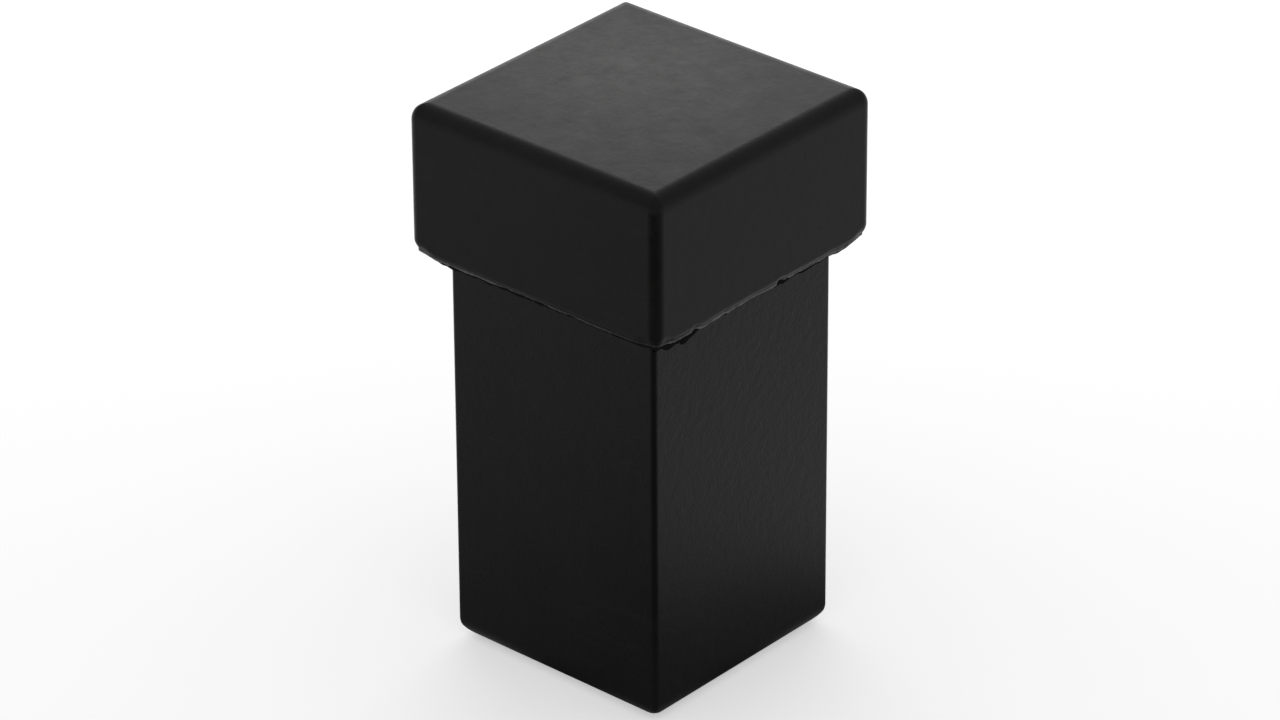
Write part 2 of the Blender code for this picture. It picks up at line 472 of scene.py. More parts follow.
def clouds_group() -> bpy.types.NodeTree:
    """Soft patches: a wide noise with a share of a finer one, spread to run from 0 to 1."""
    finer, share, steepness = 5.3, 0.35, 2.5
    sheet, given, result = new_group(Effect.CLOUDS, "Mask", Scale=200.0, Contrast=1.0)
    place, scale = given.outputs["Place"], given.outputs["Scale"]
    wide = sheet.noise(place, scale, 3.0)
    fine = sheet.noise(place, sheet.sum_of("MULTIPLY", scale, finer), 2.0)
    both = sheet.sum_of("MULTIPLY_ADD", fine, share, sheet.sum_of("MULTIPLY", wide, 1 - share))
    spread = sheet.sum_of("MULTIPLY", sheet.sum_of("SUBTRACT", both, 0.5), given.outputs["Contrast"])
    sheet.feed(sheet.sum_of("MULTIPLY_ADD", spread, steepness, 0.5, clamp=True), result.inputs["Mask"])
    return sheet.tree


def grain_group() -> bpy.types.NodeTree:
    """A fine even texture: rounded cells, and a finer noise between them."""
    finer = 1.7
    sheet, given, result = new_group(Effect.GRAIN, "Height", Scale=4000.0, Cells=0.5)
    place, scale, share = (given.outputs[name] for name in ("Place", "Scale", "Cells"))
    cells = sheet.add("TexVoronoi", {"Vector": place, "Scale": scale}, feature="SMOOTH_F1")
    loose = sheet.noise(place, sheet.sum_of("MULTIPLY", scale, finer), 3.0)
    domes = sheet.sum_of("MULTIPLY", cells.outputs["Distance"], share)
    rest = sheet.sum_of("MULTIPLY", loose, sheet.sum_of("SUBTRACT", 1.0, share))
    sheet.feed(sheet.sum_of("ADD", domes, rest), result.inputs["Height"])
    return sheet.tree


def streaks_group() -> bpy.types.NodeTree:
    """Thin broken rub marks: the ridges of a noise drawn out along a slant, kept in patches."""
    turned, stretch = (0.2, 0.3, math.radians(28)), (1.0, 14.0, 9.0)
    thin, finer, patch_ends = 0.022, 2.1, (0.5, 0.68)
    sheet, given, result = new_group(Effect.STREAKS, "Mask", Scale=60.0, Amount=0.5)
    place, scale = given.outputs["Place"], given.outputs["Scale"]
    slant = sheet.add("Mapping", {"Vector": place, "Rotation": turned, "Scale": stretch})
    drawn = sheet.noise(slant.outputs["Vector"], scale, 4.0)
    ridge = sheet.sum_of("ABSOLUTE", sheet.sum_of("SUBTRACT", drawn, 0.5))
    line = sheet.between(ridge, 0.0, thin, 1.0, 0.0)
    patches = sheet.noise(place, sheet.sum_of("MULTIPLY", scale, finer), 2.0)
    broken = sheet.sum_of("MULTIPLY", line, sheet.between(patches, *patch_ends, 0.0, 1.0))
    sheet.feed(sheet.sum_of("MULTIPLY", broken, given.outputs["Amount"]), result.inputs["Mask"])
    return sheet.tree


@dataclass(frozen=True)
class Finish:
    """A finish of two tones in soft patches, with rub marks, a grain and a ripple.

    Colours are linear and sizes are in metres.
    """

    name: str
    colour: Colour
    patch_colour: Colour
    roughness: float
    patch_roughness: float
    metallic: float = 0.0
    specular: float = 0.5
    patch_size: float = 5 * MM
    patch_contrast: float = 1.0
    grain_size: float = 0.25 * MM
    grain_depth: float = 0.01 * MM
    grain_cells: float = 0.5
    ripple_size: float = 1.4 * MM
    ripple_depth: float = 0.0
    rub_colour: Colour = (0.2, 0.2, 0.2)
    rub_size: float = 20 * MM
    rub_amount: float = 0.1

    def material(self) -> bpy.types.Material:
        """Builds the finish as a material, and returns it."""
        material = bpy.data.materials.new(self.name)
        material.use_nodes = True
        sheet = NodeSheet(material.node_tree)
        shader = material.node_tree.nodes["Principled BSDF"].inputs
        shader["Metallic"].default_value = self.metallic
        shader["Specular IOR Level"].default_value = self.specular
        patches = self.effect(sheet, Effect.CLOUDS, self.patch_size, Contrast=self.patch_contrast)
        rubs = self.effect(sheet, Effect.STREAKS, self.rub_size, Amount=self.rub_amount)
        grain = self.effect(sheet, Effect.GRAIN, self.grain_size, Cells=self.grain_cells)
        colour = sheet.blend(rubs, sheet.blend(patches, self.colour, self.patch_colour), self.rub_colour)
        roughness = sheet.between(patches, 0.0, 1.0, self.roughness, self.patch_roughness)
        ripples = self.effect(sheet, Effect.CLOUDS, self.ripple_size)
        uneven = sheet.sum_of("MULTIPLY_ADD", ripples, self.ripple_depth / self.grain_depth, grain)
        bump = sheet.add("Bump", {"Distance": self.grain_depth})
        targets = (shader["Base Color"], shader["Roughness"], bump.inputs["Height"])
        for source, target in zip(self.extra(sheet, colour, roughness, uneven), targets):
            sheet.feed(source, target)
        sheet.feed(bump.outputs["Normal"], shader["Normal"])
        return material

    @staticmethod
    def effect(sheet: NodeSheet, effect: Effect, size: float, **values: float) -> Socket:
        """Places a shared effect in a material, on the piece's own coordinates.

        Args:
            sheet: the material's nodes.
            effect: which effect.
            size: how large its pattern is.
            values: its other number inputs, by name.

        Returns:
            The effect's output.
        """
        inputs = {"Place": sheet.add("TexCoord").outputs["Object"], "Scale": 1 / size, **values}
        return sheet.add("Group", inputs, node_tree=effect_group(effect)).outputs[0]

    def extra(self, sheet: NodeSheet, colour: Socket, roughness: Socket, height: Socket) -> Surface:
        """What a special finish adds to colour, roughness and height. A plain one adds nothing."""
        return colour, roughness, height


@dataclass(frozen=True)
class MouldedRubber(Finish):
    """Matt rubber that reads two values painted on its points.

    `torn` rubber is paler, duller and coarser, and its paleness also paints a highlight along the
    lip; `bloom` is a faint pale film in fine clouds, which also paints a highlight on the top.
    """

    # the pale colour of torn rubber, which also paints the highlight along the lip
    torn_and_highlight_colour: Colour = (0.14, 0.14, 0.14)
    torn_roughness: float = 0.8
    torn_coarseness: float = 3.0
    # a pale film, which also paints a highlight on the top
    bloom_and_highlight_colour: Colour = (0.085, 0.083, 0.081)
    bloom_size: float = 1.7 * MM
    bloom_contrast: float = 0.5

    def extra(self, sheet: NodeSheet, colour: Socket, roughness: Socket, height: Socket) -> Surface:
        """Adds the bloom and the torn lip, whose pale colours also paint highlights.

        Args:
            sheet: the material's nodes.
            colour: the moulded rubber's colour.
            roughness: its roughness.
            height: its height.

        Returns:
            The colour, the roughness and the height.
        """
        # torn rubber is paler, and that paleness also paints the highlight along the lip
        torn = sheet.painted("torn")
        clouds = self.effect(sheet, Effect.CLOUDS, self.bloom_size, Contrast=self.bloom_contrast)
        bloom = sheet.sum_of("MULTIPLY", sheet.painted("bloom"), clouds)
        film = sheet.blend(bloom, colour, self.bloom_and_highlight_colour)
        dull = sheet.add("Mix", {"Factor": torn, "A": roughness, "B": self.torn_roughness}, data_type="FLOAT")
        rough = sheet.sum_of("MULTIPLY", height, self.torn_coarseness)
        coarse = sheet.sum_of("MULTIPLY_ADD", torn, rough, height)
        return sheet.blend(torn, film, self.torn_and_highlight_colour), dull.outputs["Result"], coarse


RUBBER = MouldedRubber(
    "moulded_rubber", colour=(0.0038, 0.0036, 0.0035), patch_colour=(0.0062, 0.0059, 0.0057),
    roughness=0.33, patch_roughness=0.43, specular=0.15, patch_size=2.8 * MM, patch_contrast=1.1,
    grain_size=0.16 * MM, grain_depth=0.004 * MM, ripple_size=1.1 * MM, ripple_depth=0.010 * MM,
    rub_colour=(0.03, 0.03, 0.03), rub_size=18 * MM, rub_amount=0.08,
)
# painted shade: the faces inside the flaps take this darker copy of the rubber, which reflects nothing
FLAP_SHADE = Finish(
    "torn_rubber_painted_shade", colour=(0.0060, 0.0058, 0.0056), patch_colour=(0.0080, 0.0078, 0.0076),
    roughness=0.85, patch_roughness=0.95, specular=0.0, patch_size=1.0 * MM,
    grain_size=0.16 * MM, grain_depth=0.004 * MM, rub_amount=0.0,
)
POWDER_COAT = Finish(
    "black_powder_coat", colour=(0.0045, 0.0043, 0.0042), patch_colour=(0.0060, 0.0057, 0.0056),
    roughness=0.30, patch_roughness=0.34, specular=0.17, patch_size=9 * MM,
    grain_size=0.30 * MM, grain_depth=0.006 * MM, grain_cells=0.8, ripple_size=1.0 * MM,
    ripple_depth=0.023 * MM, rub_colour=(0.022, 0.022, 0.022), rub_size=26 * MM, rub_amount=0.15,
)
BRASS = Finish(
    "machined_brass", colour=(0.62, 0.42, 0.15), patch_colour=(0.52, 0.34, 0.12),
    roughness=0.26, patch_roughness=0.38, metallic=1.0, patch_size=2 * MM,
    grain_size=0.12 * MM, grain_depth=0.002 * MM,
    rub_colour=(0.75, 0.58, 0.28), rub_size=6 * MM, rub_amount=0.4,
)
ZINC_PLATE = Finish(
    "zinc_plate", colour=(0.60, 0.61, 0.60), patch_colour=(0.50, 0.52, 0.53),
    roughness=0.24, patch_roughness=0.36, metallic=1.0, patch_size=1.5 * MM,
    grain_size=0.10 * MM, grain_depth=0.002 * MM,
    rub_colour=(0.72, 0.72, 0.70), rub_size=5 * MM, rub_amount=0.4,
)
BLACK_OXIDE = Finish(
    "black_oxide_steel", colour=(0.040, 0.038, 0.037), patch_colour=(0.026, 0.025, 0.026),
    roughness=0.36, patch_roughness=0.48, metallic=1.0, patch_size=1.2 * MM,
    grain_size=0.08 * MM, grain_depth=0.002 * MM,
    rub_colour=(0.14, 0.14, 0.14), rub_size=4 * MM, rub_amount=0.5,
)
CAST_METAL = Finish(
    "cast_light_alloy", colour=(0.46, 0.46, 0.455), patch_colour=(0.36, 0.36, 0.36),
    roughness=0.44, patch_roughness=0.58, metallic=1.0, patch_size=3 * MM, patch_contrast=1.4,
    grain_size=0.22 * MM, grain_depth=0.012 * MM,
    rub_colour=(0.60, 0.60, 0.59), rub_size=9 * MM, rub_amount=0.4,
)
PAD_FOAM = Finish(
    "closed_cell_foam", colour=(0.030, 0.030, 0.030), patch_colour=(0.050, 0.050, 0.050),
    roughness=0.88, patch_roughness=0.95, specular=0.2, patch_size=2 * MM,
    grain_size=0.35 * MM, grain_depth=0.06 * MM, grain_cells=0.9, rub_amount=0.0,
)


@dataclass(frozen=True)
class Role:
    """What a piece is finished in, rides on and stands for, and the name of its slot."""

    finish: Finish
    body: str
    node: str
    slot: str


class Maker:
    """What builds one piece of the stop and hands it over."""

    role: ClassVar[Role]

    def build(self) -> bpy.types.Object:
        """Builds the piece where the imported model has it."""
        raise NotImplementedError

    def dress(self, piece: bpy.types.Object) -> None:
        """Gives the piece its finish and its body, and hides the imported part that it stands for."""
        piece.data.materials.append(self.role.finish.material())
        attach(piece, self.role.body)
        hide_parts(self.role.node)
        log.info("%s: %d vertices, %d faces", piece.name, len(piece.data.vertices), len(piece.data.polygons))


# ---- The rubber head and its insert ----


@dataclass(frozen=True)
class Tear:
    """One irregular place in the head's lip, in millimetres from the front corner towards +X."""

    place: float
    width: float
    hang: float = 0.0  # how far a flap hangs down there, in millimetres
    loss: float = 0.0  # the share of the flash that is gone there
    bite: float = 0.0  # how far the lip itself is bitten away, in millimetres


@dataclass
class RubberHead(Maker):
    """The moulded head: flat top, soft edges, torn mould flash on its lip, sockets below.

    The flash's angles are in degrees below the horizontal, as the lip turns from 0 to 90.
    """

    role: ClassVar[Role] = Role(RUBBER, "head", "rubber_head", "rubber")
    top_radius: float = 1.6 * MM
    side_radius: float = 1.1 * MM
    lip_radius: float = 0.8 * MM
    lip_lift: float = 0.26 * MM  # how far above the lowest flaps the lip lies along the sides
    corner_lift: float = 0.16 * MM  # and at the corners
    corner_lip_radius: float = 1.5 * MM
    corner_reach: float = 1.8 * MM  # the length of side over which one becomes the other
    lip_steps: int = 45
    mouth_radius: float = 0.3 * MM
    socket_corner: float = 1.0 * MM
    barrel_radius: float = 4.3 * MM
    square_to: float = 1.5 * MM  # how far from the barrel the ceiling's square rings end
    flange_height: float = 1.2 * MM
    hollow: float = 0.05 * MM  # how far each side sinks in at its middle
    flash: float = 0.17 * MM  # how far the torn flash stands out
    flash_turn: float = 50.0
    flash_width: float = 11.0  # half of its foot
    flash_slope: float = 32.0  # which way it points
    flap_start: float = 2.0  # how far past the flash the flaps start
    flap_ramp: float = 5.0  # over how many degrees a flap reaches its full hang
    flap_end: float = 91.0  # where it would hang no more
    flap_fall: float = 9.0  # and over how many degrees before that it lifts
    lean: float = 0.45  # how far a flap leans inwards for each unit that it hangs
    fringe: float = 0.42 * MM  # how far the lip hangs below the flash all the way round
    least_flap: float = 0.04 * MM  # a flap that hangs less has no inside, and so no painted shade
    wander: float = 0.07 * MM  # how far the lip strays up and down
    bite_ramp: float = 40.0  # over how many degrees of the lip a bite starts
    broad_waves: Waves = (9, 40, 5)
    fine_waves: Waves = (4, 9, 0.45)
    fringe_waves: Waves = (21, 12, 1)
    wander_waves: Waves = (17, 16, 1.6)
    flap_waves: Waves = (12, 3, 0.45)
    broad_sway: float = 0.45  # how much each line changes what it is named for
    fine_sway: float = 0.35
    fringe_sway: float = 0.3
    flap_sway: float = 0.22
    wear_and_highlight_sway: tuple[float, float] = (0.85, 0.3)  # the mean of the wear and painted highlight, and what fine waves add to it
    pale_reach: tuple[float, float] = (0.5, 1.3)  # the pale band's width unworn, and more with wear and painted highlight
    pale_limits: tuple[float, float] = (0.3, 1.2)  # how little and how much the flash makes it paler
    outline: Outline = Outline(straight=150, turn=16, crowding=0.5)
    tears: tuple[Tear, ...] = (
        Tear(-2.0, 2.4, hang=0.50),
        Tear(0.2, 2.2, hang=0.80),
        Tear(2.4, 1.6, hang=1.00),
        Tear(3.5, 0.5, hang=0.90),
        Tear(5.0, 1.1, hang=1.85),
        Tear(5.2, 0.8, bite=0.12),
        Tear(6.9, 1.6, bite=-0.22),
        Tear(9.9, 0.5, hang=0.40, bite=-0.08),
        Tear(17.3, 0.9, hang=0.90, loss=1.0, bite=0.12),
        Tear(18.2, 0.4, hang=0.70, loss=0.8),
        Tear(-10.0, 0.7, loss=0.5),
        Tear(-13.6, 0.7, loss=0.4),
        Tear(46.0, 1.6, hang=0.25),
        Tear(63.0, 1.2, loss=0.9),
    )
    # how pale the torn flash is round the lip: its wear, and a painted highlight
    wear_and_highlight_places: tuple[float, ...] = (0.0, 0.03, 0.055, 0.25, 0.50, 0.75, 0.80, 0.88, 0.985, 1.0)
    wear_and_highlight_values: tuple[float, ...] = (0.40, 0.70, 1.00, 0.98, 0.70, 0.90, 0.85, 0.50, 0.30, 0.40)
    hang_places: tuple[float, ...] = (0, 0.05, 0.07, 0.14, 0.155, 0.225, 0.24, 0.745, 0.765, 0.78, 0.97, 1)
    hang_values: tuple[float, ...] = (1, 0.5, 0.06, 0.05, 1.3, 1.2, 0.4, 0.4, 0.4, 1.35, 1, 1)
    wander_values: tuple[float, ...] = (1, 1, 1, 1, 1, 1, 1, 1, 0.25, 0.25, 0.25, 0.6)
    # the bloom's cloud, a pale film that also paints a highlight on the top
    bloom_and_highlight_place: tuple[float, float] = (-4.0 * MM, 4.5 * MM)
    bloom_and_highlight_reach: float = 12.0 * MM
    scuff_place: tuple[float, float] = (1.6 * MM, 7.9 * MM)
    scuff_size: tuple[float, float] = (2.4 * MM, 0.8 * MM)  # along and across its own line
    scuff: float = 0.20

    def build(self) -> bpy.types.Object:
        """Builds the head with its lip as it is along the sides, and blends in the corners'.

        Returns:
            The piece.
        """
        low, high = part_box("rubber_head")
        half, top = high.x, high.z
        foot = low.z + self.lip_lift
        rings = self.carried(half, top, foot, self.lip_radius)
        rounder = self.carried(half, top, low.z + self.corner_lift, self.corner_lip_radius)
        first = int(np.argmax(rings[:, 0, 2] < foot + self.lip_radius + 0.001 * MM))
        last = first + self.lip_steps + 1
        from_corner = half - np.abs(rings[first, :, :2]).min(axis=-1)
        share = 1 - smooth((from_corner - self.side_radius) / self.corner_reach)
        rings = rings + (rounder - rings) * share[:, None]
        self.sink_sides(rings[:last], half)
        torn, flap_shade_mask = self.tear_lip(rings[first:last])
        skin = Skin.capped(rings)
        # the pale bloom also paints a highlight on the top
        bloom = self.bloom_and_highlight(rings[:first], top)
        for name, start, values in (("torn", first, torn), ("flap_shade_mask", first, flap_shade_mask), ("bloom", 0, bloom)):
            grid = np.zeros(rings.shape[:2])
            grid[start : start + len(values)] = values
            skin.paint[name] = np.concatenate([[grid[0].mean()], grid[1:-1].ravel(), [grid[-1].mean()]])
        return skin.as_piece("rubber_head_moulding")

    def carried(self, half: float, top: float, foot: float, lip: float) -> np.ndarray:
        """The head's rings with the same lip all the way round.

        Args:
            half: the head's half width.
            top: the height of its flat top.
            foot: the height of the lip's lowest points.
            lip: the lip's radius.

        Returns:
            An array of rows by columns of points.
        """
        insert_low, insert_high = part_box("head_insert")
        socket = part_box("body")[1].x + GAP
        ceiling, flange, crown = insert_low.z, insert_high.x + GAP, insert_high.z + GAP
        ledge = insert_high.z - self.flange_height - GAP
        r_top, r_mouth, barrel = self.top_radius, self.mouth_radius, self.barrel_radius
        shell = Profile(0.0, top).to(half - r_top, top, 26).bend(r_top, 90, 0, 12)
        shell.to(half, foot + lip, 14).bend(lip, 0, -90, self.lip_steps)
        inside = Profile(half - lip, foot).to(socket + r_mouth, foot, 5).bend(r_mouth, -90, -180, 4)
        inside.to(socket, ceiling, 10).to(barrel + self.square_to, ceiling, 4)
        pocket = Profile(barrel, ceiling).to(barrel, ledge, 4).to(flange, ledge, 2)
        pocket.to(flange, crown, 3).to(0.0, crown, 5)
        outer = shell.rows(Section.SQUARE, half, self.side_radius)
        inner = inside.rows(Section.SQUARE, socket, self.socket_corner)[1:]
        return self.outline.carry(np.concatenate([outer, inner, pocket.rows()]))

    def sink_sides(self, rings: np.ndarray, half: float) -> None:
        """Draws each side in by hollow * (1 - (distance along it / half)^2), as rubber shrinks."""
        across = rings[..., :2] / half
        rings[..., :2] -= self.hollow * across * np.clip(1 - across[..., ::-1] ** 2, 0, 1)

    def tear_lip(self, lip: np.ndarray) -> tuple[np.ndarray, np.ndarray]:
        """Raises the flash on the lip, hangs its flaps and bites pieces out of it.

        The flash is a hump across the lip, as high as an irregular line less what each tear
        takes. Below it the lip hangs down, leaning inwards, by a ragged fringe or by the flaps,
        whichever is longer. The lip also wanders up and down, and is bitten away at some tears.

        Args:
            lip: the lip's rings, changed in place.

        Returns:
            How pale the torn rubber is at each point, which also paints a highlight along the lip,
            and a mask of the flaps' insides, which take painted shade.
        """
        _, direction = self.outline.corners_and_directions()
        turns = np.linspace(0, 90, self.lip_steps + 1)[:, None]
        ring = lip[0, :, :2]
        steps = np.linalg.norm(np.roll(ring, -1, axis=0) - ring, axis=1)
        length = steps.sum()
        along = (np.cumsum(steps) - steps[0] - self.side_radius * np.pi / 4) % length
        share = along / length

        def line(seed: int, longest: float, shortest: float) -> np.ndarray:
            """An irregular line round the lip."""
            return ragged(along, length, seed, longest * MM, shortest * MM)

        fine = line(*self.fine_waves)
        height = self.flash * (1 + self.broad_sway * line(*self.broad_waves) + self.fine_sway * fine)
        hang = self.fringe * np.interp(share, self.hang_places, self.hang_values)
        hang = hang * (1 + self.fringe_sway * line(*self.fringe_waves))
        wander = self.wander * np.interp(share, self.hang_places, self.wander_values)
        bite = wander * line(*self.wander_waves)
        for tear in self.tears:
            away = (along - tear.place * MM + length / 2) % length - length / 2
            shape = hump(away, tear.width * MM)
            height = height * (1 - tear.loss * shape)
            hang = np.maximum(hang, tear.hang * MM * np.sqrt(shape))
            bite = bite + tear.bite * MM * shape
        hang = hang * (1 + self.flap_sway * line(*self.flap_waves))
        past = turns - self.flash_turn
        slope = math.radians(self.flash_slope)
        raised = hump(past, self.flash_width) * height
        starts = np.clip((past - self.flap_start) / self.flap_ramp, 0, 1)
        under = starts * np.clip((self.flap_end - turns) / self.flap_fall, 0, 1)
        gone = np.clip(turns / self.bite_ramp, 0, 1) * bite
        out = raised * math.cos(slope) - under * hang * self.lean - np.maximum(gone, 0)
        lip[..., :2] += out[..., None] * direction
        lip[..., 2] += gone - raised * math.sin(slope) - under * hang
        # the pale torn flash is wear and a painted highlight along the lip
        mean, sway = self.wear_and_highlight_sway
        wear_and_highlight = np.interp(share, self.wear_and_highlight_places, self.wear_and_highlight_values) * (mean + sway * fine)
        narrow, widened = self.pale_reach
        pale = hump(past, self.flash_width * (narrow + widened * np.clip(wear_and_highlight, 0, 1)))
        torn = np.clip(pale * wear_and_highlight * np.clip(height / self.flash, *self.pale_limits), 0, 1)
        return torn, (past >= self.flap_start) * (hang > self.least_flap)

    def bloom_and_highlight(self, rings: np.ndarray, top: float) -> np.ndarray:
        """How much pale bloom and painted highlight each point has, which is all on the flat top.

        It is a soft cloud, exp(-(distance / reach)^2), a pale film that also paints a highlight on
        the top, and a scuff, the same with two reaches along its own line, which lies between +X
        and +Y.

        Args:
            rings: the head's rings down to its lip.
            top: the height of the flat top.

        Returns:
            One value for each point.
        """
        flat = smooth((rings[..., 2] - top + self.top_radius) / self.top_radius)
        from_cloud = rings[..., :2] - np.array(self.bloom_and_highlight_place)
        cloud = np.exp(-((from_cloud / self.bloom_and_highlight_reach) ** 2).sum(axis=-1))
        east, north = np.moveaxis(rings[..., :2] - np.array(self.scuff_place), -1, 0)
        along, across = (east + north) / math.sqrt(2), (north - east) / math.sqrt(2)
        scuff = np.exp(-((along / self.scuff_size[0]) ** 2) - (across / self.scuff_size[1]) ** 2)
        return flat * np.clip(cloud + self.scuff * scuff, 0, 1)

    def dress(self, piece: bpy.types.Object) -> None:
        """Finishes the head in rubber, and the faces inside its flaps in painted shade: a darker copy without
        reflections.
        """
        super().dress(piece)
        mesh = piece.data
        mesh.materials.append(FLAP_SHADE.material())
        # the faces inside the flaps take the second material, which is painted shade
        flap_shade_mask = np.empty(len(mesh.vertices), np.float32)
        mesh.attributes["flap_shade_mask"].data.foreach_get("value", flap_shade_mask)
        vertex = np.empty(len(mesh.loops), np.int32)
        mesh.loops.foreach_get("vertex_index", vertex)
        start = np.empty(len(mesh.polygons), np.int32)
        mesh.polygons.foreach_get("loop_start", start)
        mesh.polygons.foreach_set("material_index", np.minimum.reduceat(flap_shade_mask[vertex], start).astype(np.int32))


@dataclass
class HeadInsert(Maker):
    """The brass insert: a flange, a diamond-knurled barrel and a blind M5 bore."""

    role: ClassVar[Role] = Role(BRASS, "head", "head_insert", "brass")
    barrel_radius: float = 4.0 * MM
    flange_height: float = 1.2 * MM
    bore_radius: float = 2.72 * MM
    bore_depth: float = 4.0 * MM
    bore_cone: float = 0.35 * MM
    edge: float = 0.15 * MM
    knurl: float = 0.16 * MM
    knurls_round: int = 36
    knurl_pitch: float = 1.05 * MM
    knurl_fade: float = 0.4 * MM
    thread: Thread = Thread(pitch=0.8 * MM, depth=0.22 * MM)
    outline: Outline = Outline(straight=42, turn=12, crowding=0.0)

    def build(self) -> bpy.types.Object:
        """Builds the insert, its flange up, with its thread and its knurl.

        Returns:
            The piece.
        """
        low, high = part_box("head_insert")
        rim, top, bottom = high.x, high.z, low.z
        shoulder, bore_top = top - self.flange_height, bottom + self.bore_depth
        edge, radius, bore, carry = self.edge, self.barrel_radius, self.bore_radius, self.outline.carry
        flange = Profile(0.0, top).to(rim - edge, top, 6).bend(edge, 90, 0, 3)
        flange.to(rim, shoulder + edge, 3).bend(edge, 0, -90, 3).to(radius, shoulder, 3)
        barrel = Profile(radius, shoulder).to(radius, bottom + edge, 39, even=True)
        foot = Profile(radius - edge, bottom).to(bore + edge, bottom, 3).bend(edge, -90, -180, 3)
        wall = Profile(bore, bottom + edge).to(bore, bore_top, 43, even=True)
        end = Profile(bore, bore_top).to(0.0, bore_top + self.bore_cone, 4)
        threaded = self.thread.cut(carry(wall.rows()), inside=True)
        knurled = self.knurled(carry(barrel.rows()))
        rings = [carry(flange.rows()[:-1]), knurled, carry(foot.rows()[:-1]), threaded, carry(end.rows()[1:])]
        return Skin.capped(np.concatenate(rings)).as_piece("head_insert_knurled")

    def knurled(self, rings: np.ndarray) -> np.ndarray:
        """Cuts crossing grooves into the barrel.

        Two waves run round it, slanting opposite ways, and the surface is sunk where either is
        low: depth * (1 - |sin u| |sin v|), with u and v = turns round +- height / pitch.

        Args:
            rings: the barrel's rings.

        Returns:
            The knurled rings.
        """
        x, y, z = np.moveaxis(rings, -1, 0)
        around = self.knurls_round * np.arctan2(y, x) / 2
        climb = np.pi * z / self.knurl_pitch
        ridges = np.abs(np.sin(around + climb)) * np.abs(np.sin(around - climb))
        return carved(rings, self.knurl * (1 - ridges), self.knurl_fade)


# ---- The body ----


